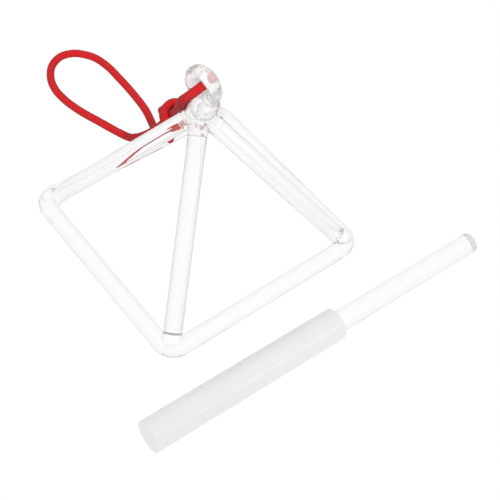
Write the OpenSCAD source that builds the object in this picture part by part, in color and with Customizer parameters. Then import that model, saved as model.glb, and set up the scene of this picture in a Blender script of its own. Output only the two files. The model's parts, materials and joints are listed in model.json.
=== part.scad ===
// Singing pyramid of flame-welded quartz rod, with its carrying cord and its mallet
// The origin is on the table under the apex, the base sides run along X and Y, +Z is up

/* [Quartz frame] */
// Distance between the axes of opposite base rods
base_side = 127; // [100:1:200]
// Diameter of the base rods and legs
rod_d = 10; // [6:0.5:13]
// Height of the point where the leg axes meet, above the axes of the base rods
apex_rise = 90; // [65:1:150]
// Centre line radius of the bends at the base corners
bend_r = 8; // [7.5:0.5:20]

/* [Welds] */
// How far the foot weld runs up the leg past the bend
weld_rise = 3; // [1.5:0.5:6]
// How far the foot weld stands proud of the leg
weld_bulge = 1; // [0.4:0.1:2]
// Free gap between the upper ends of neighbouring legs
leg_gap = 3.4; // [1:0.1:8]
// How far the hub stubs stand proud of the legs that they meet
stub_bulge = 0.3; // [0.1:0.1:1]
// Diameter of the ball at the middle of the hub
hub_d = 15; // [14:0.5:24]

/* [Hanging ring] */
// Diameter of the ring's rod
ring_rod_d = 8; // [5:0.5:9]
// Diameter of the ring's hole
ring_hole_d = 7; // [6.5:0.5:16]
// Height of the ring's underside above the hub ball
ring_lift = 0.8; // [0:0.1:6]
// Diameter of the weld neck between the hub and the ring
neck_d = 11; // [6:0.5:12]
// How far the ring and its neck stand in front of the apex
ring_forward = 1.5; // [0:0.1:2]
// Turn of the ring about the upright axis, in degrees
ring_turn = 12; // [-20:1:20]

/* [Cord] */
// Diameter of the braided cord
cord_d = 5; // [3:0.5:5]
// Diameter of the knot over its turns
knot_d = 18; // [16:0.5:22]
// Turns that the knot takes round the strands
knot_turns = 2; // [2:1:4]
// Clearance between the cord and the ring that it goes round
cord_clear = 0.5; // [0.3:0.1:0.6]

/* [Mallet] */
// Length of the mallet over the sleeve and the rod
mallet_l = 220; // [170:1:320]
// Diameter of the mallet's clear rod
mallet_rod_d = 12; // [8:0.5:14]
// Chamfer at the ends of the rod
rod_chamfer = 0.8; // [0.2:0.1:2]
// Outside diameter of the silicone sleeve
sleeve_d = 18; // [16:0.5:26]
// Length of the sleeve
sleeve_l = 121; // [60:1:160]
// Thickness of the sleeve's closed end
sleeve_end = 3; // [1.5:0.5:6]
// Rounding of the sleeve's edges
sleeve_round = 1.4; // [0.4:0.1:1.8]
// Distance from the axis of the front base rod to the mallet where it passes the middle
mallet_away = 38; // [25:1:120]
// Where the sleeve's closed end lies along the mallet, from the middle of the pyramid
mallet_start = -102; // [-200:1:0]
// Turn of the mallet on the table, in degrees
mallet_turn = -1.5; // [-4:0.1:4]

/* [Hidden] */

$fn = 64;
quartz = "aliceblue";
cord_red = "crimson";
clear_rod = "lightcyan";
silicone = "whitesmoke";

// Each base side has a name and the turn that brings the front side to it, in degrees
sides = [["front", 0], ["right", 90], ["back", 180], ["left", 270]];
// Each corner has a name and the signs of its x and y
corners = [["front_left", -1, -1], ["front_right", 1, -1], ["back_left", -1, 1], ["back_right", 1, 1]];

rod_r = rod_d / 2;
half_side = base_side / 2;
straight_l = base_side - 2 * bend_r;
apex_z = rod_r + apex_rise;

// The leg axis starts at the middle of the bend and ends where the four axes meet
foot_xy = half_side - bend_r * (1 - cos(45));
leg_l = sqrt(2 * foot_xy * foot_xy + apex_rise * apex_rise);
half_angle = asin(foot_xy / leg_l);
stub_l = (leg_gap / 2 + rod_r * cos(half_angle)) / sin(half_angle);

// The weld's side is an arc that is widest a little below the leg and meets it at the rod's own radius
weld_wide_share = 0.55;
weld_l = rod_r + weld_rise;
weld_wide_at = weld_wide_share * weld_l;
weld_arc_r = (pow(weld_l - weld_wide_at, 2) + weld_bulge * weld_bulge) / (2 * weld_bulge);

ring_r = (ring_hole_d + ring_rod_d) / 2;
ring_z = apex_z + hub_d / 2 + ring_lift + ring_r + ring_rod_d / 2;
ring_at = [0, -ring_forward, ring_z];

// The knot and the way that the cord runs through it
knot_at = [9, 33.5, 59];
knot_way = [8, 30, -46];
knot_dir = unit(knot_way);
knot_across = unit(cross(knot_dir, [0, 0, 1]));
knot_inward = cross(knot_dir, knot_across);
// Strands lie side by side in the knot, and the cut ends nestle in front of and behind them
strand_gap = 0.3;
strand_off = (cord_d + strand_gap) / 2;
nestle_angle = 60;
end_off = strand_off * tan(nestle_angle);
knot_core_r = end_off + cord_d / 2 + strand_gap / 2;
// The knot's turns climb along it, and their two ends tuck into the core
knot_step = cord_d + strand_gap;
knot_l = (knot_turns + 1) * knot_step;
turn_r = (knot_d - cord_d) / 2;
tuck_r = knot_core_r - cord_d;
tuck_turn = 50;
turn_rings = 16;
// Each cord is swept with this many sides, from any direction that no route starts along
cord_sides = 10;
cord_seed = [0.3, 0.5, 0.8];

// The cord goes round the lower back of the ring, where its strands run straight on to the knot
wrap_at = -55;
wrap_end = 90;
wrap_step = 22.5;
wrap_r = (ring_rod_d + cord_d) / 2 + cord_clear;
wrap_out = [-sin(ring_turn) * cos(wrap_at), cos(ring_turn) * cos(wrap_at), sin(wrap_at)];
ring_axis = [cos(ring_turn), sin(ring_turn), 0];

// Route up from the knot to the ring, round it by a half turn, and back down to the knot
up_route = [
    [2, 22.4, 76.5], [-1.6, 15.6, 87], [-4.9, 10, 95.8], [-6.9, 6.5, 101.5], [-8, 3.1, 106]
];
wrap_route = [
    for (a = [-wrap_end : wrap_step : wrap_end])
        ring_at + wrap_r * sin(a) * ring_axis + (ring_r - wrap_r * cos(a)) * wrap_out
];
down_route = [[6.5, 6.6, 104.5], [6.9, 9.6, 99], [7.7, 14.4, 90.5], [8.8, 20.3, 80]];
// Route down from the knot, over the back rod, round on the table and back up to the knot
hand_route = [
    [15.6, 54, 29], [17.8, 63.5, 16.8], [19.6, 69, 11.2], [22, 74.5, 6.4], [25.5, 83, 3.4], [28, 92, 2.6],
    [29.5, 107, 2.6], [30, 123, 2.6], [29.8, 137, 2.6], [27.5, 148, 2.6], [23.5, 154.5, 2.6],
    [18, 159.5, 2.6], [10, 161.3, 2.6], [1, 157.2, 2.6], [-6, 147.5, 2.6], [-8.8, 137, 2.6],
    [-8.5, 125.5, 2.6], [-6, 113.3, 2.6], [-1.6, 100, 2.6], [2.2, 88.5, 2.6], [4.6, 80, 3.6], [5, 74.5, 6.4],
    [5, 69, 11.2], [5.2, 63.5, 16.8], [7.2, 52, 31]
];
// Routes of the two cut ends down from the knot
front_end_route = [[9.6, 36.1, 46.4], [9.2, 37.5, 40.5], [8, 38.5, 33]];
back_end_route = [[11.6, 45.7, 51.6], [12, 49.5, 47.4], [12.2, 52.5, 43.6]];

function unit(v) = v / norm(v);
// The part of v that is square to the direction t
function squared(v, t) = unit(v - (v * t) * t);
// Where a strand meets the knot: end is -1 above and 1 below, side is -1 or 1 across
function knot_face(end, side) =
    knot_at + end * knot_l / 2 * knot_dir + side * strand_off * knot_across;
// Where a cut end leaves the knot: side is 1 inward and -1 outward
function knot_end(side) = knot_at + knot_l / 2 * knot_dir + side * end_off * knot_inward;
function tangents(p, first, last) = [
    for (i = [0 : len(p) - 1])
        i == 0 ? first : i == len(p) - 1 ? last : unit(p[i + 1] - p[i - 1])
];
// The direction in which a route ends
function ending(p) = unit(p[len(p) - 1] - p[len(p) - 2]);
// A point at radius r and height z, turned by the angle a
function turned(r, a, z) = [r * cos(a), r * sin(a), z];
// One direction across the cord for each ring, carried along the route without twist
function carried(t) = [
    for (i = 0, n = squared(cord_seed, t[0]);
         i < len(t);
         i = i + 1, n = i < len(t) ? squared(n, t[i]) : n) n
];

// A cord of cord_sides along the points p, whose ends are square to first and last
module cord_along(p, first, last) {
    t = tangents(p, first, last);
    n = carried(t);
    rings = len(p);
    function at(i, k) = i * cord_sides + (k + cord_sides) % cord_sides;
    points = [
        for (i = [0 : rings - 1], k = [0 : cord_sides - 1])
            let (a = 360 * k / cord_sides)
            p[i] + cord_d / 2 * (cos(a) * n[i] + sin(a) * cross(t[i], n[i]))
    ];
    walls = [
        for (i = [0 : rings - 2], k = [0 : cord_sides - 1], half = [0, 1])
            half == 0 ? [at(i, k), at(i + 1, k), at(i + 1, k + 1)]
                      : [at(i, k), at(i + 1, k + 1), at(i, k + 1)]
    ];
    caps = [
        for (k = [1 : cord_sides - 2], end = [0, 1])
            end == 0 ? [at(0, 0), at(0, k), at(0, k + 1)]
                     : [at(rings - 1, 0), at(rings - 1, k + 1), at(rings - 1, k)]
    ];
    polyhedron(points, concat(walls, caps), convexity = 6);
}

// Turns +Z to the direction v
module aim(v) {
    rotate([0, acos(v[2] / norm(v)), atan2(v[1], v[0])]) children();
}

// The frame of the leg at one corner: its foot is the origin and +Z runs up the leg
module on_leg(sx, sy) {
    translate([sx * foot_xy, sy * foot_xy, rod_r])
        aim([-sx * foot_xy, -sy * foot_xy, apex_rise]) children();
}

// The frame of the mallet: the sleeve's closed end is the origin and +Z runs along the rod
module on_mallet() {
    translate([0, -half_side - mallet_away, sleeve_d / 2])
        rotate([0, 0, mallet_turn])
            translate([mallet_start, 0, 0])
                rotate([0, 90, 0]) children();
}

module base_rod(turn) {
    color(quartz)
        rotate([0, 0, turn])
            translate([-straight_l / 2, -half_side, rod_r])
                rotate([0, 90, 0]) cylinder(d = rod_d, h = straight_l);
}

module bend_solid(sx, sy) {
    translate([sx * (half_side - bend_r), sy * (half_side - bend_r), rod_r])
        rotate([0, 0, atan2(sy, sx) - 45])
            rotate_extrude(angle = 90) translate([bend_r, 0]) circle(d = rod_d);
}

module corner_bend(sx, sy) {
    color(quartz) bend_solid(sx, sy);
}

// A swollen collar under the leg, seated on the bend and on the ends of the base rods
module foot_weld(sx, sy) {
    color(quartz)
        difference() {
            on_leg(sx, sy)
                rotate_extrude()
                    intersection() {
                        square([rod_d, weld_l]);
                        translate([rod_r + weld_bulge - weld_arc_r, weld_wide_at]) circle(r = weld_arc_r);
                    }
            bend_solid(sx, sy);
            for (s = sides) base_rod(s[1]);
        }
}

module leg(sx, sy) {
    color(quartz)
        on_leg(sx, sy)
            translate([0, 0, weld_l]) cylinder(d = rod_d, h = leg_l - weld_l - stub_l);
}

module ring_solid() {
    translate(ring_at)
        rotate([0, 0, ring_turn])
            rotate([0, 90, 0])
                rotate_extrude() translate([ring_r, 0]) circle(d = ring_rod_d);
}

// Four stubs that carry the legs, a ball where they run together, and the neck under the ring
module apex_hub() {
    color(quartz)
        difference() {
            union() {
                for (c = corners)
                    on_leg(c[1], c[2])
                        translate([0, 0, leg_l - stub_l]) cylinder(d = rod_d + 2 * stub_bulge, h = stub_l);
                translate([0, 0, apex_z]) sphere(d = hub_d);
                translate([0, -ring_forward, apex_z]) cylinder(d = neck_d, h = ring_z - ring_r - apex_z);
            }
            ring_solid();
        }
}

module hanging_ring() {
    color(quartz) ring_solid();
}

module cord_ring_loop() {
    route = concat([knot_face(-1, -1)], up_route, wrap_route, down_route, [knot_face(-1, 1)]);
    color(cord_red) cord_along(route, -knot_dir, knot_dir);
}

// One length of cord wound round the core that holds the strands
module cord_knot() {
    climb = knot_turns * knot_step;
    winding = [
        for (i = [0 : knot_turns * turn_rings])
            turned(turn_r, 360 * i / turn_rings, knot_step * i / turn_rings - climb / 2)
    ];
    route = concat(
        [turned(tuck_r, -tuck_turn, -climb / 2)],
        winding,
        [turned(tuck_r, tuck_turn, climb / 2)]
    );
    color(cord_red)
        translate(knot_at)
            aim(knot_dir) {
                cylinder(r = knot_core_r, h = knot_l, center = true);
                cord_along(route, unit(route[1] - route[0]), ending(route));
            }
}

// The two cut ends, where they come out of the knot beside the strands
module cord_ends() {
    color(cord_red) {
        cord_along(concat([knot_end(1)], front_end_route), knot_dir, ending(front_end_route));
        cord_along(concat([knot_end(-1)], back_end_route), knot_dir, ending(back_end_route));
    }
}

module cord_hand_loop() {
    route = concat([knot_face(1, 1)], hand_route, [knot_face(1, -1)]);
    color(cord_red) cord_along(route, knot_dir, -knot_dir);
}

module mallet_rod() {
    rod_l = mallet_l - sleeve_end;
    outer = mallet_rod_d / 2;
    inner = outer - rod_chamfer;
    color(clear_rod)
        on_mallet()
            translate([0, 0, sleeve_end])
                rotate_extrude()
                    polygon([
                        [0, 0], [inner, 0], [outer, rod_chamfer],
                        [outer, rod_l - rod_chamfer], [inner, rod_l], [0, rod_l]
                    ]);
}

// A tube with a closed end and rounded edges, drawn over the rod
module mallet_sleeve() {
    color(silicone)
        on_mallet()
            difference() {
                rotate_extrude() {
                    square([sleeve_d / 2 - sleeve_round, sleeve_l]);
                    translate([0, sleeve_round]) square([sleeve_d / 2, sleeve_l - 2 * sleeve_round]);
                    for (z = [sleeve_round, sleeve_l - sleeve_round])
                        translate([sleeve_d / 2 - sleeve_round, z]) circle(r = sleeve_round);
                }
                translate([0, 0, sleeve_end]) cylinder(d = mallet_rod_d, h = sleeve_l);
            }
}

for (s = sides) {
    base_rod(s[1]);
}
for (c = corners) {
    corner_bend(c[1], c[2]);
    foot_weld(c[1], c[2]);
    leg(c[1], c[2]);
}
apex_hub();
hanging_ring();
cord_ring_loop();
cord_knot();
cord_ends();
cord_hand_loop();
mallet_rod();
mallet_sleeve();
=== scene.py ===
import json
import math

import bpy
from mathutils import Matrix, Vector


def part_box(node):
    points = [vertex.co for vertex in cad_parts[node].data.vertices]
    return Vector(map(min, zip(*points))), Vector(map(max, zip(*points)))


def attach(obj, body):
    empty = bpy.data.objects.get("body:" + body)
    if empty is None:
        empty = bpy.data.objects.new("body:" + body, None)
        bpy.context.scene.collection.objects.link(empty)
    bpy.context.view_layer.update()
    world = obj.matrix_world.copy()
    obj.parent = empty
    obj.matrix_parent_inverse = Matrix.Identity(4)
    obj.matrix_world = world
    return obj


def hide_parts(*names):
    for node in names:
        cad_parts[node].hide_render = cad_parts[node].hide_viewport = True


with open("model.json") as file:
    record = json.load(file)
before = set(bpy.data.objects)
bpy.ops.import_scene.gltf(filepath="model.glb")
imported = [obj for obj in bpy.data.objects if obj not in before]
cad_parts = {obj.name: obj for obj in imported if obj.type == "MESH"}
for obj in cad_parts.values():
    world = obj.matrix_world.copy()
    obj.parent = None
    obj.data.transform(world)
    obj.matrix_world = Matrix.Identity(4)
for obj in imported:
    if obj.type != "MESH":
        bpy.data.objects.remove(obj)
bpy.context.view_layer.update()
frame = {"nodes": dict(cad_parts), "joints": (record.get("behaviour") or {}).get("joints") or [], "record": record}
print("frame loaded:", len(frame["nodes"]), "nodes")


# small helpers
def deselectAll():
    if bpy.context.object and bpy.context.object.mode != "OBJECT":
        bpy.ops.object.mode_set(mode="OBJECT")
    bpy.ops.object.select_all(action="DESELECT")


def pick(*objs):
    deselectAll()
    for obj in objs:
        obj.select_set(True)
    bpy.context.view_layer.objects.active = objs[0]


def applyPlace(obj):  # the place goes into the mesh, the object stays at the origin
    pick(obj)
    bpy.ops.object.transform_apply(location=True, rotation=True, scale=True)


def applyModifiers(obj):
    pick(obj)
    for modifier in list(obj.modifiers):
        bpy.ops.object.modifier_apply(modifier=modifier.name)


smoothAngle = 40  # degrees, sharper edges than this stay sharp


def smoothByAngle(obj):
    pick(obj)
    bpy.ops.object.shade_smooth_by_angle(angle=math.radians(smoothAngle))


def unit(v):
    return Vector(v).normalized()


def aim(obj, start, direction):  # +Z of the piece turns to direction, its origin goes to start
    turn = Vector(direction).to_track_quat("Z", "Y").to_matrix().to_4x4()
    obj.matrix_world = Matrix.Translation(start) @ turn
    applyPlace(obj)


def dress(obj, body, material, nodes=()):
    obj.data.materials.clear()
    obj.data.materials.append(material)
    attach(obj, body)
    if nodes:
        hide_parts(*nodes)


# camera at the photograph's viewpoint
shot = {
    "azimuth": -42.83,  # degrees, 0 looks along +Y
    "elevation": 52.715,
    "roll": 6.2,
    "target": (0.01548, -0.03129, 0.0),
    "distance": 0.62564,
    "lens": 78.8,
    "sensor": 36.0,
}


def makeCamera():
    a, e = math.radians(shot["azimuth"]), math.radians(shot["elevation"])
    back = Vector((math.sin(a) * math.cos(e), -math.cos(a) * math.cos(e), math.sin(e)))
    data = bpy.data.cameras.new("shotCamera")
    data.lens = shot["lens"]
    data.sensor_width = shot["sensor"]
    camera = bpy.data.objects.new("shotCamera", data)
    bpy.context.scene.collection.objects.link(camera)
    roll = Matrix.Rotation(math.radians(shot["roll"]), 4, "Z")
    turn = (-back).to_track_quat("-Z", "Y").to_matrix().to_4x4() @ roll
    camera.matrix_world = Matrix.Translation(Vector(shot["target"]) + back * shot["distance"]) @ turn
    bpy.context.scene.camera = camera


makeCamera()
print("camera set")


# node helpers
def newMaterial(name):
    material = bpy.data.materials.new(name)
    material.use_nodes = True
    nodes = material.node_tree.nodes
    return material, nodes, material.node_tree.links, nodes["Principled BSDF"]


def addNode(nodes, kind, **values):
    node = nodes.new(kind)
    for key, value in values.items():
        if key in node.inputs:
            node.inputs[key].default_value = value
        else:
            setattr(node, key, value)
    return node


# red braided cord
braid = {
    "diameter": 0.005,
    "carriers": 8,  # strands that run each way round
    "cell": 0.00125,  # half the length of one diamond along the cord
    "lift": 0.00034,  # how far the strands stand out
    "swell": 0.62,  # share of the lift that rounds a strand
    "weave": 0.38,  # share of the lift that goes over and under
    "threads": 3,  # in one strand
    "sides": 48,
    "step": 0.00036,
    "domeLeast": 0.02,  # keeps the last ring of a rounded end open
    "spanSteps": 40,  # fine steps of the curve between two points of a route
    # painted shade: the red darkens from the strands' crests down into the grooves between them; the mottle is the
    # yarn's own uneven tone
    "grooveShade": (0.24, 0.004, 0.006, 1),
    "bright": (0.71, 0.016, 0.020, 1),
    "grooveShadeAt": 0.12,
    "brightAt": 0.75,
    "edge": [(0.2, 1.0), (0.75, 0.5)],  # painted shade: the red darkens from face on (0) to edge on (1)
    "mottle": 0.35,
    "mottleScale": 900.0,
    "mottleDetail": 3.0,
    "mottleRoughness": 0.6,
    "threadBump": 0.35,
    "threadDepth": 0.00008,
    "roughness": 0.7,
    "specular": 0.2,
}


def makeCordMaterial():
    material, nodes, links, shader = newMaterial("redBraid")
    height = addNode(nodes, "ShaderNodeAttribute", attribute_name="braid")
    yarn = addNode(nodes, "ShaderNodeAttribute", attribute_name="yarn")
    place = addNode(nodes, "ShaderNodeTexCoord")
    mottle = addNode(nodes, "ShaderNodeTexNoise")
    mottle.inputs["Scale"].default_value = braid["mottleScale"]
    mottle.inputs["Detail"].default_value = braid["mottleDetail"]
    mottle.inputs["Roughness"].default_value = braid["mottleRoughness"]
    links.new(place.outputs["Object"], mottle.inputs["Vector"])
    mix = addNode(nodes, "ShaderNodeMath", operation="MULTIPLY_ADD")
    mix.inputs[1].default_value = braid["mottle"]
    links.new(mottle.outputs["Fac"], mix.inputs[0])
    links.new(height.outputs["Fac"], mix.inputs[2])
    # painted shade in the braid's grooves, the cord's own bright red on the crests
    ramp = addNode(nodes, "ShaderNodeValToRGB")
    ramp.color_ramp.elements[0].position = braid["grooveShadeAt"]
    ramp.color_ramp.elements[0].color = braid["grooveShade"]
    ramp.color_ramp.elements[1].position = braid["brightAt"]
    ramp.color_ramp.elements[1].color = braid["bright"]
    links.new(mix.outputs[0], ramp.inputs["Fac"])
    # painted shade: the colour darkens towards the cord's outline
    facing = addNode(nodes, "ShaderNodeLayerWeight", Blend=0.5)
    edge = addNode(nodes, "ShaderNodeValToRGB")
    for stop, (at, grey) in zip(edge.color_ramp.elements, braid["edge"]):
        stop.position = at
        stop.color = (grey, grey, grey, 1)
    links.new(facing.outputs["Facing"], edge.inputs["Fac"])
    tone = addNode(nodes, "ShaderNodeMix", data_type="RGBA", blend_type="MULTIPLY", Factor=1.0)
    links.new(ramp.outputs["Color"], tone.inputs["A"])
    links.new(edge.outputs["Color"], tone.inputs["B"])
    links.new(tone.outputs["Result"], shader.inputs["Base Color"])
    threads = addNode(nodes, "ShaderNodeMath", operation="SINE")
    links.new(yarn.outputs["Fac"], threads.inputs[0])
    bump = addNode(nodes, "ShaderNodeBump", Strength=braid["threadBump"], Distance=braid["threadDepth"])
    links.new(threads.outputs[0], bump.inputs["Height"])
    links.new(bump.outputs["Normal"], shader.inputs["Normal"])
    shader.inputs["Roughness"].default_value = braid["roughness"]
    shader.inputs["Specular IOR Level"].default_value = braid["specular"]
    return material


cordMaterial = makeCordMaterial()

# the knot hangs behind the pyramid, and both loops start and end at it
knot = {
    "at": Vector((0.009, 0.0335, 0.059)),
    "along": unit((8, 30, -46)),
    "turns": 2,
    "gap": 0.0003,
    "width": 0.018,
    "turnSteps": 16,
    "tuckTurn": 50,  # degrees
    "nestle": 60,  # degrees, how steeply the cut ends lie on the strands
    "inside": 0.004,  # how far the cut ends reach into the knot
    "overlap": 0.0012,  # how far the strands inside reach into the loops
}
knotAcross = knot["along"].cross(Vector((0, 0, 1))).normalized()
knotInward = knot["along"].cross(knotAcross)
strandOff = (braid["diameter"] + knot["gap"]) / 2
endOff = strandOff * math.tan(math.radians(knot["nestle"]))
knotStep = braid["diameter"] + knot["gap"]
knotLength = (knot["turns"] + 1) * knotStep


def knotFace(end, side):
    return knot["at"] + end * knotLength / 2 * knot["along"] + side * strandOff * knotAcross


def knotEnd(side):
    return knot["at"] + knotLength / 2 * knot["along"] + side * endOff * knotInward


ringJoint = next(j for j in frame["joints"] if j["name"] == "cord_swing")
ringAxis = unit(ringJoint["axis"])
ringCentre = Vector(ringJoint["pos_m"])
ring = {"radius": 0.0075, "rod": 0.004, "cordClear": 0.0005}
wrap = {
    "at": -55,  # degrees above the ring's middle
    "radius": ring["rod"] + braid["diameter"] / 2 + ring["cordClear"],
    "steps": 8,
}


def wrapPoints():  # a half turn round the lower back of the ring
    a = math.radians(wrap["at"])
    out = Vector((-ringAxis.y * math.cos(a), ringAxis.x * math.cos(a), math.sin(a)))
    points = []
    for i in range(wrap["steps"] + 1):
        b = math.radians(-90 + 180 * i / wrap["steps"])
        across = ring["radius"] - wrap["radius"] * math.cos(b)
        points.append(ringCentre + wrap["radius"] * math.sin(b) * ringAxis + across * out)
    return points


upRoute = [
    (0.002, 0.0224, 0.0765), (-0.0016, 0.0156, 0.087), (-0.0049, 0.010, 0.0958),
    (-0.0069, 0.0065, 0.1015), (-0.008, 0.0031, 0.106),
]
downRoute = [
    (0.0065, 0.0066, 0.1045), (0.0069, 0.0096, 0.099), (0.0077, 0.0144, 0.0905), (0.0088, 0.0203, 0.080),
]
handRoute = [
    (0.0156, 0.054, 0.029), (0.0178, 0.0635, 0.0168), (0.0196, 0.069, 0.0112), (0.022, 0.0745, 0.0064),
    (0.0255, 0.083, 0.0034), (0.028, 0.092, 0.0026), (0.0295, 0.107, 0.0026), (0.030, 0.123, 0.0026),
    (0.0298, 0.137, 0.0026), (0.0275, 0.148, 0.0026), (0.0235, 0.1545, 0.0026), (0.018, 0.1595, 0.0026),
    (0.010, 0.1613, 0.0026), (0.001, 0.1572, 0.0026), (-0.006, 0.1475, 0.0026), (-0.0088, 0.137, 0.0026),
    (-0.0085, 0.1255, 0.0026), (-0.006, 0.1133, 0.0026), (-0.0016, 0.100, 0.0026), (0.0022, 0.0885, 0.0026),
    (0.0046, 0.080, 0.0036), (0.005, 0.0745, 0.0064), (0.005, 0.069, 0.0112), (0.0052, 0.0635, 0.0168),
    (0.0072, 0.052, 0.031),
]
frontEndRoute = [(0.0096, 0.0361, 0.0464), (0.0092, 0.0375, 0.0405), (0.008, 0.0385, 0.033)]
backEndRoute = [(0.0116, 0.0457, 0.0516), (0.012, 0.0495, 0.0474), (0.0122, 0.0525, 0.0436)]


def smoothLine(points, first, last, step):
    # a curve through every point, cut into even steps
    points = [Vector(p) for p in points]
    reach = (points[1] - points[0]).length
    lead = points[0] - unit(first) * reach
    trail = points[-1] + unit(last) * (points[-1] - points[-2]).length
    dots = [lead, *points, trail]
    fine = []
    for i in range(1, len(dots) - 2):
        p0, p1, p2, p3 = dots[i - 1:i + 3]
        k1 = (p1 - p0).length ** 0.5
        k2 = (p2 - p1).length ** 0.5
        k3 = (p3 - p2).length ** 0.5
        m1 = (p1 - p0) / k1 - (p2 - p0) / (k1 + k2) + (p2 - p1) / k2
        m2 = (p2 - p1) / k2 - (p3 - p1) / (k2 + k3) + (p3 - p2) / k3
        for j in range(braid["spanSteps"]):
            t = j / braid["spanSteps"]
            fine.append((2 * t**3 - 3 * t**2 + 1) * p1 + (t**3 - 2 * t**2 + t) * k2 * m1
                        + (3 * t**2 - 2 * t**3) * p2 + (t**3 - t**2) * k2 * m2)
    fine.append(points[-1])
    run = [0.0]
    for a, b in zip(fine, fine[1:]):
        run.append(run[-1] + (b - a).length)
    count = max(2, round(run[-1] / step))
    line, at = [], 0
    for i in range(count + 1):
        want = run[-1] * i / count
        while at < len(fine) - 2 and run[at + 1] < want:
            at += 1
        share = (want - run[at]) / max(run[at + 1] - run[at], 1e-12)
        line.append(fine[at].lerp(fine[at + 1], min(share, 1.0)))
    return line, run[-1]


def braidAt(turn, distance):
    # height of the upper strand, and the place across it, where strands of two ways cross
    a = braid["carriers"] * turn + distance / (2 * braid["cell"])
    b = braid["carriers"] * turn - distance / (2 * braid["cell"])
    fa, fb = a % 1, b % 1
    over = 1 if (math.floor(a) + math.floor(b)) % 2 == 0 else -1
    swell, weave = braid["swell"], braid["weave"]
    heightA = swell * math.sqrt(max(0, 1 - (2 * fa - 1) ** 2)) + weave * over * math.sin(math.pi * fb)
    heightB = swell * math.sqrt(max(0, 1 - (2 * fb - 1) ** 2)) - weave * over * math.sin(math.pi * fa)
    return (heightA, fa) if heightA > heightB else (heightB, fb)


def braidedTube(name, line, domeEnd=False):
    sides, count = braid["sides"], len(line)
    radius = braid["diameter"] / 2 - braid["lift"]
    tangents = [unit(line[min(i + 1, count - 1)] - line[max(i - 1, 0)]) for i in range(count)]
    normal = tangents[0].orthogonal().normalized()
    verts, heights, yarns = [], [], []
    distance = 0.0
    for i, (point, tangent) in enumerate(zip(line, tangents)):
        if i:
            distance += (point - line[i - 1]).length
        normal = unit(normal - normal.dot(tangent) * tangent)
        other = tangent.cross(normal)
        dome = min(1.0, (count - 1 - i) * braid["step"] / radius) if domeEnd else 1.0
        swell = math.sqrt(max(braid["domeLeast"], 1 - (1 - dome) ** 2))
        for k in range(sides):
            height, across = braidAt(k / sides, distance)
            r = (radius + braid["lift"] * height) * swell
            a = 2 * math.pi * k / sides
            verts.append(point + r * (math.cos(a) * normal + math.sin(a) * other))
            heights.append(height)
            yarns.append(across * 2 * braid["threads"] * math.pi)
    faces = []
    for i in range(count - 1):
        for k in range(sides):
            n = (k + 1) % sides
            faces.append((i * sides + k, i * sides + n, (i + 1) * sides + n, (i + 1) * sides + k))
    faces.append(tuple(reversed(range(sides))))
    faces.append(tuple(range((count - 1) * sides, count * sides)))
    mesh = bpy.data.meshes.new(name)
    mesh.from_pydata(verts, [], faces)
    mesh.attributes.new("braid", "FLOAT", "POINT").data.foreach_set("value", heights)
    mesh.attributes.new("yarn", "FLOAT", "POINT").data.foreach_set("value", yarns)
    mesh.polygons.foreach_set("use_smooth", [True] * len(faces))
    obj = bpy.data.objects.new(name, mesh)
    bpy.context.scene.collection.objects.link(obj)
    return obj


def windingPoints():
    # the knot's turns climb along it, and their ends tuck in under them
    across, inward, along = knotAcross, knotInward, knot["along"]
    turnR = (knot["width"] - braid["diameter"]) / 2
    tuckR = endOff + knot["gap"] / 2 - braid["diameter"] / 2
    climb = knot["turns"] * knotStep

    def at(r, degrees, z):
        a = math.radians(degrees)
        return knot["at"] + r * math.cos(a) * across + r * math.sin(a) * inward + z * along

    points = [at(tuckR, -knot["tuckTurn"], -climb / 2)]
    rings = knot["turnSteps"]
    for i in range(knot["turns"] * rings + 1):
        points.append(at(turnR, 360 * i / rings, knotStep * i / rings - climb / 2))
    points.append(at(tuckR, knot["tuckTurn"], climb / 2))
    return points


def makeCord():
    down, up = knot["along"], -knot["along"]
    inside = knot["inside"] * knot["along"]
    wound = windingPoints()
    line, _ = smoothLine(wound, wound[1] - wound[0], wound[-1] - wound[-2], braid["step"])
    knotPiece = braidedTube("knotWrap", line)
    cores = []
    for side in (-1, 1):  # the two strands that the turns hold together
        top = knotFace(-1, side) - knot["overlap"] * down
        middle = knot["at"] + side * strandOff * knotAcross
        foot = knotFace(1, side) + knot["overlap"] * down
        line, _ = smoothLine([top, middle, foot], down, down, braid["step"])
        cores.append(braidedTube("knotCore", line))
    pick(knotPiece, *cores)
    bpy.ops.object.join()
    ends = []
    for name, side, route in (("cutEndFront", 1, frontEndRoute), ("cutEndBack", -1, backEndRoute)):
        points = [knotEnd(side) - inside, knotEnd(side), *route]
        line, _ = smoothLine(points, down, Vector(route[-1]) - Vector(route[-2]), braid["step"])
        ends.append(braidedTube(name, line, domeEnd=True))
    ringPoints = [knotFace(-1, -1), *upRoute, *wrapPoints(), *downRoute, knotFace(-1, 1)]
    ringLine, ringLength = smoothLine(ringPoints, up, down, braid["step"])
    ringPiece = braidedTube("ringLoop", ringLine)
    handPoints = [knotFace(1, 1), *handRoute, knotFace(1, -1)]
    handLine, handLength = smoothLine(handPoints, down, up, braid["step"])
    handPiece = braidedTube("handLoop", handLine)
    dress(knotPiece, "cord", cordMaterial, ["cord_knot"])
    dress(ends[0], "cord", cordMaterial, ["cord_ends"])
    dress(ends[1], "cord", cordMaterial)
    dress(ringPiece, "cord", cordMaterial, ["cord_ring_loop"])
    dress(handPiece, "cord", cordMaterial, ["cord_hand_loop"])
    print("cord made: ring loop %.4f m, hand loop %.4f m" % (ringLength, handLength))


makeCord()


# clear glass: painted shade greys its colour towards the rims, where they bend the view away from the white table
drawn = {"detail": 2.0, "roughness": 0.45, "depth": 0.0002}  # ripples left by the drawing of the rods


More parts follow.
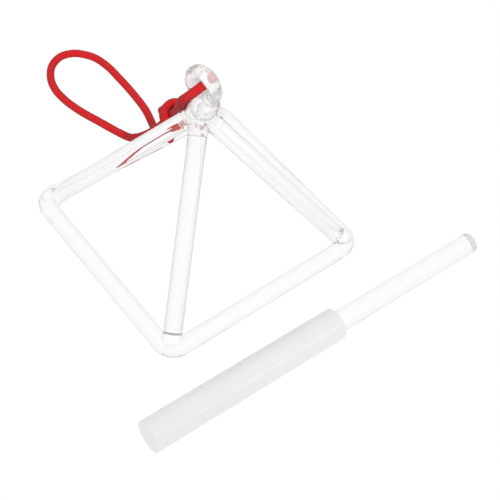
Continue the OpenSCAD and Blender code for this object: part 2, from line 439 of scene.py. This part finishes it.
def makeRippleGroup():
    group = bpy.data.node_groups.new("drawnRipple", "ShaderNodeTree")
    for name, kind in (("Scale", "NodeSocketFloat"), ("Detail", "NodeSocketFloat")):
        group.interface.new_socket(name, in_out="INPUT", socket_type=kind)
    group.interface.new_socket("Height", in_out="OUTPUT", socket_type="NodeSocketFloat")
    nodes, links = group.nodes, group.links
    given, result = nodes.new("NodeGroupInput"), nodes.new("NodeGroupOutput")
    place = addNode(nodes, "ShaderNodeTexCoord")
    wave = addNode(nodes, "ShaderNodeTexNoise", Roughness=drawn["roughness"])
    links.new(place.outputs["Object"], wave.inputs["Vector"])
    links.new(given.outputs["Scale"], wave.inputs["Scale"])
    links.new(given.outputs["Detail"], wave.inputs["Detail"])
    links.new(wave.outputs["Fac"], result.inputs["Height"])
    return group


rippleGroup = makeRippleGroup()


def makeGlassMaterial(name, look):
    material, nodes, links, shader = newMaterial(name)
    shader.inputs["Transmission Weight"].default_value = look["clearness"]
    shader.inputs["IOR"].default_value = look["ior"]
    shader.inputs["Roughness"].default_value = 0.0
    # painted shade: the colour greys from face on towards the rims
    facing = addNode(nodes, "ShaderNodeLayerWeight", Blend=0.5)
    rim = addNode(nodes, "ShaderNodeValToRGB")
    stops = rim.color_ramp.elements
    for i, (at, grey) in enumerate(look["rim"]):
        stop = stops[i] if i < 2 else stops.new(at)
        stop.position = at
        stop.color = (grey, grey, grey, 1)
    links.new(facing.outputs["Facing"], rim.inputs["Fac"])
    links.new(rim.outputs["Color"], shader.inputs["Base Color"])
    ripple = addNode(nodes, "ShaderNodeGroup", node_tree=rippleGroup)
    ripple.inputs["Scale"].default_value = look["scale"]
    ripple.inputs["Detail"].default_value = drawn["detail"]
    bump = addNode(nodes, "ShaderNodeBump", Strength=look["ripple"], Distance=drawn["depth"])
    links.new(ripple.outputs["Height"], bump.inputs["Height"])
    links.new(bump.outputs["Normal"], shader.inputs["Normal"])
    path = addNode(nodes, "ShaderNodeLightPath")
    clear = addNode(nodes, "ShaderNodeBsdfTransparent")
    mix = addNode(nodes, "ShaderNodeMixShader")
    links.new(path.outputs["Is Shadow Ray"], mix.inputs["Fac"])
    links.new(shader.outputs["BSDF"], mix.inputs[1])
    links.new(clear.outputs["BSDF"], mix.inputs[2])
    links.new(mix.outputs["Shader"], nodes["Material Output"].inputs["Surface"])
    return material


# thin film on cut ends: dark grey at the nearest leg's foot, nearly clear at the welds, pale on the handle's tip
endFilm = {
    "roughness": 0.5,
    # dark grey film across the nearest leg's foot
    "darkBand": {"grey": 0.03, "cover": 0.62},
    "clear": {"grey": 0.95, "cover": 0.04},
    "pale": {"grey": 0.90, "cover": 0.60},
    "depth": 0.0005,  # faces this near to the end's plane take the film
    "reach": 0.0060,
    "square": 0.6,  # least cosine between a face's normal and the rod
}


def makeFilmMaterial(name):
    material, _, _, shader = newMaterial(name + "EndFilm")
    grey = endFilm[name]["grey"]
    shader.inputs["Base Color"].default_value = (grey, grey, grey, 1)
    shader.inputs["Roughness"].default_value = endFilm["roughness"]
    shader.inputs["Alpha"].default_value = endFilm[name]["cover"]
    return material


films = {name: makeFilmMaterial(name) for name in ("darkBand", "clear", "pale")}


def coat(obj, film, point, way):
    # faces that lie square across the rod at the point take the film
    slot = obj.data.materials.find(films[film].name)
    if slot < 0:
        obj.data.materials.append(films[film])
        slot = len(obj.data.materials) - 1
    for face in obj.data.polygons:
        off = face.center - point
        near = abs(off.dot(way)) < endFilm["depth"] and off.length < endFilm["reach"]
        if near and abs(face.normal.dot(way)) > endFilm["square"]:
            face.material_index = slot


# rim: painted shade, the glass's colour from face on (0) to edge on (1), its two ends first
legGlass = {
    "clearness": 1.0,
    "ior": 1.46,
    "rim": [(0.0, 0.98), (1.0, 0.30), (0.2, 0.94), (0.4, 0.80), (0.6, 0.62), (0.8, 0.42)],
    "scale": 90,
    "ripple": 0.04,
}
# the other legs take lighter painted rim shade than the nearest leg
sideLegGlass = {
    **legGlass,
    "rim": [(0.0, 0.985), (1.0, 0.50), (0.2, 0.96), (0.4, 0.89), (0.6, 0.77), (0.8, 0.61)],
}
baseGlass = {
    "clearness": 1.0,
    "ior": 1.46,
    "rim": [(0.0, 0.985), (1.0, 0.54), (0.2, 0.96), (0.4, 0.90), (0.6, 0.79), (0.8, 0.64)],
    "scale": 130,
    "ripple": 0.2,
}
crownGlass = {
    "clearness": 0.72,  # worked in the flame, so a little milky
    "ior": 1.46,
    "rim": [(0.0, 0.99), (1.0, 0.40), (0.2, 0.98), (0.4, 0.93), (0.6, 0.82), (0.8, 0.64)],
    "scale": 220,
    "ripple": 0.25,
}

rodLow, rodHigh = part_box("base_rod_front")
quartz = {
    "apexRise": 0.090,
    "weldRise": 0.003,
    "weldBulge": 0.001,
    "weldWide": 0.55,  # share of the weld's length at which it is widest
    "legGap": 0.0034,
    "stubBulge": 0.0003,
    "hub": 0.015,
    "neck": 0.011,
    "seam": 0.00004,  # hair gap at the two ends of each leg
    "edge": 0.0002,
}
rodR = (rodHigh.z - rodLow.z) / 2
halfSide = -(rodLow.y + rodHigh.y) / 2
bendR = halfSide - (rodHigh.x - rodLow.x) / 2
apex = Vector((0, 0, rodR + quartz["apexRise"]))
footXY = halfSide - bendR * (1 - math.cos(math.pi / 4))
legLength = math.sqrt(2 * footXY**2 + quartz["apexRise"] ** 2)
legSine = footXY / legLength
legCosine = math.sqrt(1 - legSine**2)
stubLength = (quartz["legGap"] / 2 + rodR * legCosine) / legSine
weldLength = rodR + quartz["weldRise"]
corners = {"front_left": (-1, -1), "front_right": (1, -1), "back_left": (-1, 1), "back_right": (1, 1)}
darkBandCorner = "front_left"  # the nearest leg, with a dark grey film at its foot


def footOf(corner):
    sx, sy = corners[corner]
    return Vector((sx * footXY, sy * footXY, rodR))


def lathe(name, profile, sides=192):
    # a disc pushed up ring by ring along the profile's heights and radii
    deselectAll()
    z, r = profile[0]
    bpy.ops.mesh.primitive_circle_add(vertices=sides, radius=r, fill_type="NGON", location=(0, 0, 0))
    obj = bpy.context.object
    obj.name = name
    bpy.ops.object.mode_set(mode="EDIT")
    bpy.ops.mesh.select_all(action="SELECT")
    bpy.ops.transform.translate(value=(0, 0, z))
    for nextZ, nextR in profile[1:]:
        bpy.ops.mesh.extrude_region_move(TRANSFORM_OT_translate={"value": (0, 0, nextZ - z)})
        grow = nextR / r
        bpy.ops.transform.resize(value=(grow, grow, 1), center_override=(0, 0, nextZ))
        z, r = nextZ, nextR
    bpy.ops.mesh.select_all(action="SELECT")
    bpy.ops.mesh.normals_make_consistent(inside=False)
    bpy.ops.object.mode_set(mode="OBJECT")
    return obj


def roundedRim(radius, edge, steps):
    rim = []
    for i in range(steps + 1):
        a = math.pi / 2 * i / steps
        rim.append((edge - edge * math.cos(a), radius - edge + edge * math.sin(a)))
    return rim


def roundedRod(length, radius, edge, farEdge=None, steps=4):
    # profile of a rod whose two rims are rounded
    far = roundedRim(radius, farEdge or edge, steps)
    return roundedRim(radius, edge, steps) + [(length - z, r) for z, r in reversed(far)]


# how finely the base's bends, straights, rod and welds are divided
baseSteps = {"bend": 24, "straight": 24, "round": 46, "weld": 12}


def weldOn(obj, pieces):
    for piece in pieces:
        join = obj.modifiers.new("weld", "BOOLEAN")
        join.operation = "UNION"
        join.solver = "EXACT"
        join.object = piece
        applyModifiers(obj)
        bpy.data.objects.remove(piece)


def makeBase():
    deselectAll()
    bpy.ops.mesh.primitive_plane_add(size=2 * halfSide, location=(0, 0, rodR))
    base = bpy.context.object
    base.name = "baseRing"
    bpy.ops.object.mode_set(mode="EDIT")
    bpy.ops.mesh.select_all(action="SELECT")
    bpy.ops.mesh.delete(type="ONLY_FACE")
    bpy.ops.mesh.select_all(action="SELECT")
    bpy.ops.mesh.bevel(offset=bendR, offset_type="OFFSET", segments=baseSteps["bend"], affect="VERTICES")
    bpy.ops.mesh.select_all(action="DESELECT")
    bpy.ops.object.mode_set(mode="OBJECT")
    for edge in base.data.edges:
        a, b = [base.data.vertices[i].co for i in edge.vertices]
        edge.select = (a - b).length > bendR
    bpy.ops.object.mode_set(mode="EDIT")
    bpy.ops.mesh.select_mode(type="EDGE")
    bpy.ops.mesh.subdivide(number_cuts=baseSteps["straight"])
    bpy.ops.mesh.select_mode(type="VERT")
    bpy.ops.object.mode_set(mode="OBJECT")
    bpy.ops.object.convert(target="CURVE")
    base.data.bevel_depth = rodR
    base.data.bevel_resolution = baseSteps["round"]
    bpy.ops.object.convert(target="MESH")
    applyPlace(base)
    wide = quartz["weldWide"] * weldLength
    arc = ((weldLength - wide) ** 2 + quartz["weldBulge"] ** 2) / (2 * quartz["weldBulge"])
    profile = []
    for i in range(baseSteps["weld"] + 1):
        z = (weldLength - quartz["seam"]) * i / baseSteps["weld"]
        profile.append((z, rodR + quartz["weldBulge"] - arc + math.sqrt(arc**2 - (z - wide) ** 2)))
    welds = []
    for corner in corners:
        weld = lathe("weld", profile)
        aim(weld, footOf(corner), apex - footOf(corner))
        welds.append(weld)
    weldOn(base, welds)
    smoothByAngle(base)
    nodes = ["base_rod_front", "base_rod_back", "base_rod_left", "base_rod_right"]
    nodes += [kind + corner for kind in ("corner_bend_", "foot_weld_") for corner in corners]
    dress(base, "frame", makeGlassMaterial("quartzBase", baseGlass), nodes)
    for corner in corners:
        way = unit(apex - footOf(corner))
        coat(base, "clear", footOf(corner) + way * weldLength, way)
    print("base ring made:", len(base.data.polygons), "faces")


def makeLegs():
    frontGlass = makeGlassMaterial("quartzLeg", legGlass)
    sideGlass = makeGlassMaterial("quartzSideLeg", sideLegGlass)
    length = legLength - weldLength - stubLength - 2 * quartz["seam"]
    for corner in corners:
        foot = footOf(corner)
        along = apex - foot
        way = unit(along)
        # true for the nearest leg, whose foot takes the dark grey film
        darkBand = corner == darkBandCorner
        leg = lathe("leg" + corner.title().replace("_", ""), roundedRod(length, rodR, quartz["edge"]))
        aim(leg, foot + way * (weldLength + quartz["seam"]), along)
        smoothByAngle(leg)
        dress(leg, "frame", frontGlass if darkBand else sideGlass, ["leg_" + corner])
        coat(leg, "darkBand" if darkBand else "clear", foot + way * weldLength, way)
        if not darkBand:
            coat(leg, "clear", apex - way * stubLength, way)
    print("legs made")


crownMelt = {
    "ballSides": 64,
    "ringSides": 96,
    "ringRodSides": 48,
    "voxel": 0.0003,
    "flow": 0.5,  # share of the way that one round of smoothing goes
    "rounds": 6,
    "blendRounds": 120,
    "endKept": 0.97,  # share of a stub's length from which it keeps its shape
    "endFade": 0.12,
    "saddleAt": (0, -0.0035, 0.1025),  # glass that ran together under the ring
    "saddleRadius": 0.008,
    "foldSize": 0.0065,
    "foldDepth": 0.0020,
    "foldMiddle": 0.6,  # share of a fold's depth that lies below the smooth skin
    "foldTop": 0.111,  # the folds fade out up to here, and the ring stays smooth
    "foldFade": 0.006,
    "foldLeast": 0.35,
}


def addFlow(obj, rounds):
    flow = obj.modifiers.new("flow", "SMOOTH")
    flow.factor = crownMelt["flow"]
    flow.iterations = rounds
    return flow


def fuse(pieces):
    # melt overlapping pieces into one skin
    obj = pieces[0]
    pick(*pieces)
    bpy.ops.object.join()
    melt = obj.modifiers.new("melt", "REMESH")
    melt.mode = "VOXEL"
    melt.voxel_size = crownMelt["voxel"]
    melt.use_smooth_shade = True
    addFlow(obj, crownMelt["rounds"])
    applyModifiers(obj)
    return obj


def blend(obj):
    # melt the creases of the crown and press folds into it, but leave the ends of its stubs as they are
    soft, folded = obj.vertex_groups.new(name="soft"), obj.vertex_groups.new(name="folded")
    for vertex in obj.data.vertices:
        reach = (vertex.co - apex).length / stubLength
        share = (crownMelt["endKept"] - reach) / crownMelt["endFade"]
        weight = 1.0 if vertex.co.z > apex.z else max(0.0, min(1.0, share))
        soft.add([vertex.index], weight, "REPLACE")
        low = (crownMelt["foldTop"] - vertex.co.z) / crownMelt["foldFade"]
        folded.add([vertex.index], weight * max(crownMelt["foldLeast"], min(1.0, low)), "REPLACE")
    addFlow(obj, crownMelt["blendRounds"]).vertex_group = "soft"
    folds = bpy.data.textures.new("folds", "CLOUDS")
    folds.noise_scale = crownMelt["foldSize"]
    press = obj.modifiers.new("press", "DISPLACE")
    press.texture = folds
    press.texture_coords = "LOCAL"
    press.mid_level = crownMelt["foldMiddle"]
    press.strength = crownMelt["foldDepth"]
    press.vertex_group = "folded"
    applyModifiers(obj)


def addBall(radius, at):
    deselectAll()
    sides = crownMelt["ballSides"]
    bpy.ops.mesh.primitive_uv_sphere_add(segments=sides, ring_count=sides // 2, radius=radius, location=at)
    ball = bpy.context.object
    applyPlace(ball)
    return ball


def makeCrown():
    pieces = []
    stubR = rodR + quartz["stubBulge"]
    for corner in corners:
        along = apex - footOf(corner)
        stub = lathe("stub", [(quartz["seam"], stubR), (stubLength, stubR)])
        aim(stub, apex - unit(along) * stubLength, along)
        pieces.append(stub)
    pieces.append(addBall(quartz["hub"] / 2, apex))
    pieces.append(addBall(crownMelt["saddleRadius"], crownMelt["saddleAt"]))
    neckR = quartz["neck"] / 2
    neckTop = ringCentre.z - ring["radius"] - apex.z
    neck = lathe("neck", [(0, neckR), (neckTop, neckR)])
    neck.location = (0, ringCentre.y, apex.z)
    applyPlace(neck)
    pieces.append(neck)
    deselectAll()
    bpy.ops.mesh.primitive_torus_add(
        major_segments=crownMelt["ringSides"], minor_segments=crownMelt["ringRodSides"],
        major_radius=ring["radius"], minor_radius=ring["rod"],
    )
    eye = bpy.context.object
    aim(eye, ringCentre, ringAxis)
    pieces.append(eye)
    crown = fuse(pieces)
    crown.name = "crown"
    blend(crown)
    glass = makeGlassMaterial("quartzCrown", crownGlass)
    dress(crown, "frame", glass, ["apex_hub", "hanging_ring"])
    for corner in corners:
        if corner != darkBandCorner:
            way = unit(apex - footOf(corner))
            coat(crown, "clear", apex - way * stubLength, way)
    print("crown made:", len(crown.data.polygons), "faces")


makeBase()
makeLegs()
makeCrown()

# mallet
rodMount = next(m for m in frame["record"]["mounts"] if m["name"] == "mallet_rod")
mallet = {
    "length": 0.220,
    "rod": 0.006,
    "chamfer": 0.0008,
    "sleeve": 0.009,
    "sleeveLength": 0.121,
    "sleeveEnd": 0.003,
    "round": 0.0006,
    "farRound": 0.0014,
    "rimSteps": 8,
    "fit": 0.00005,
    "mountAt": 0.1705,  # from the sleeve's closed end
}
malletWay = unit(rodMount["axis"])
malletStart = Vector(rodMount["pos_m"]) - mallet["mountAt"] * malletWay

# the handle's rim list is painted shade too, lighter than the quartz's
handleGlass = {
    "clearness": 1.0,
    "ior": 1.49,
    "rim": [(0.0, 0.985), (1.0, 0.62), (0.2, 0.96), (0.4, 0.92), (0.6, 0.84), (0.8, 0.74)],
    "scale": 60,
    "ripple": 0.05,
}
silicone = {
    "shade": (0.775, 0.775, 0.775, 1),
    "light": (0.815, 0.815, 0.815, 1),
    "cloudScale": 60.0,
    "cloudDetail": 4.0,
    "cloudRoughness": 0.5,
    "roughness": 0.5,
    "coat": 0.45,
    "coatRoughness": 0.14,
    "ior": 1.41,
}


def makeSleeveMaterial():
    material, nodes, links, shader = newMaterial("silicone")
    place = addNode(nodes, "ShaderNodeTexCoord")
    cloud = addNode(nodes, "ShaderNodeTexNoise")
    cloud.inputs["Scale"].default_value = silicone["cloudScale"]
    cloud.inputs["Detail"].default_value = silicone["cloudDetail"]
    cloud.inputs["Roughness"].default_value = silicone["cloudRoughness"]
    links.new(place.outputs["Object"], cloud.inputs["Vector"])
    tone = addNode(nodes, "ShaderNodeValToRGB")
    tone.color_ramp.elements[0].color = silicone["shade"]
    tone.color_ramp.elements[1].color = silicone["light"]
    links.new(cloud.outputs["Fac"], tone.inputs["Fac"])
    links.new(tone.outputs["Color"], shader.inputs["Base Color"])
    shader.inputs["Roughness"].default_value = silicone["roughness"]
    shader.inputs["IOR"].default_value = silicone["ior"]
    shader.inputs["Coat Weight"].default_value = silicone["coat"]
    shader.inputs["Coat Roughness"].default_value = silicone["coatRoughness"]
    return material


def makeMallet():
    rodLength = mallet["length"] - mallet["sleeveEnd"]
    rod = lathe("malletRod", roundedRod(rodLength, mallet["rod"], mallet["chamfer"]))
    aim(rod, malletStart + mallet["sleeveEnd"] * malletWay, malletWay)
    smoothByAngle(rod)
    dress(rod, "mallet", makeGlassMaterial("clearRod", handleGlass), ["mallet_rod"])
    coat(rod, "pale", malletStart + mallet["length"] * malletWay, malletWay)
    outer = roundedRod(
        mallet["sleeveLength"], mallet["sleeve"], mallet["round"], mallet["farRound"], mallet["rimSteps"]
    )
    bore = mallet["rod"] + mallet["fit"]
    sleeve = lathe("malletSleeve", outer + [(mallet["sleeveLength"], bore), (mallet["sleeveEnd"], bore)])
    aim(sleeve, malletStart, malletWay)
    smoothByAngle(sleeve)
    dress(sleeve, "mallet", makeSleeveMaterial(), ["mallet_sleeve"])
    print("mallet made")


makeMallet()

# white table with a painted pool of light that dims far from the object, a soft sky and one broad lamp
studio = {
    "tableSize": 8.0,
    "tableDrop": 0.0002,  # keeps the table clear of what lies on it
    "tableGlow": 1.0,
    "whiteOut": 0.30,  # the table is white this far from the middle
    "dimOut": 1.6,
    "tableFar": 0.80,
    "horizon": 0.70,
    "sky": 1.06,
    "skyFrom": 0.7,  # height at which the sky has its full light
    "lampAt": (0.30, -0.64, 0.36),
    "lampLength": 0.6,
    "lampWidth": 0.12,
    "lampPower": 0.6,
    "bounces": 48,  # light runs a long way inside the rods
}


def makeTable():
    deselectAll()
    bpy.ops.mesh.primitive_plane_add(size=studio["tableSize"], location=(0, 0, -studio["tableDrop"]))
    table = bpy.context.object
    table.name = "table"
    material, nodes, links, shader = newMaterial("whiteTable")
    shader.inputs["Base Color"].default_value = (0.0, 0.0, 0.0, 1)
    shader.inputs["Specular IOR Level"].default_value = 0.0
    shader.inputs["Emission Strength"].default_value = studio["tableGlow"]
    # painted pool of light: the glow is full white near the middle and dims further out
    place = addNode(nodes, "ShaderNodeTexCoord")
    far = addNode(nodes, "ShaderNodeVectorMath", operation="LENGTH")
    fade = addNode(nodes, "ShaderNodeMapRange", interpolation_type="SMOOTHSTEP")
    fade.inputs["From Min"].default_value = studio["whiteOut"]
    fade.inputs["From Max"].default_value = studio["dimOut"]
    fade.inputs["To Min"].default_value = 1.0
    fade.inputs["To Max"].default_value = studio["tableFar"]
    links.new(place.outputs["Object"], far.inputs[0])
    links.new(far.outputs["Value"], fade.inputs["Value"])
    links.new(fade.outputs["Result"], shader.inputs["Emission Color"])
    material.cycles.emission_sampling = "NONE"  # so wide a glow is found better by bounced rays
    table.data.materials.append(material)


def makeSky():
    world = bpy.data.worlds.new("studioLight")
    bpy.context.scene.world = world
    world.use_nodes = True
    nodes, links = world.node_tree.nodes, world.node_tree.links
    place = addNode(nodes, "ShaderNodeTexCoord")
    split = addNode(nodes, "ShaderNodeSeparateXYZ")
    ramp = addNode(nodes, "ShaderNodeValToRGB")
    ramp.color_ramp.elements[0].position = 0.0
    ramp.color_ramp.elements[0].color = (studio["horizon"],) * 3 + (1,)
    ramp.color_ramp.elements[1].position = studio["skyFrom"]
    ramp.color_ramp.elements[1].color = (studio["sky"],) * 3 + (1,)
    links.new(place.outputs["Generated"], split.inputs["Vector"])
    links.new(split.outputs["Z"], ramp.inputs["Fac"])
    links.new(ramp.outputs["Color"], nodes["Background"].inputs["Color"])


def makeLamp():
    lamp = bpy.data.lights.new("softLamp", "AREA")
    lamp.shape = "RECTANGLE"
    lamp.size = studio["lampLength"]
    lamp.size_y = studio["lampWidth"]
    lamp.energy = studio["lampPower"]
    obj = bpy.data.objects.new("softLamp", lamp)
    bpy.context.scene.collection.objects.link(obj)
    at = Vector(studio["lampAt"])
    obj.matrix_world = Matrix.Translation(at) @ at.to_track_quat("Z", "Y").to_matrix().to_4x4()


def makeStudio():
    makeTable()
    makeSky()
    makeLamp()
    scene = bpy.context.scene
    scene.view_settings.view_transform = "Standard"
    scene.cycles.max_bounces = studio["bounces"]
    scene.cycles.glossy_bounces = studio["bounces"]
    scene.cycles.transmission_bounces = studio["bounces"]
    print("studio set")


makeStudio()
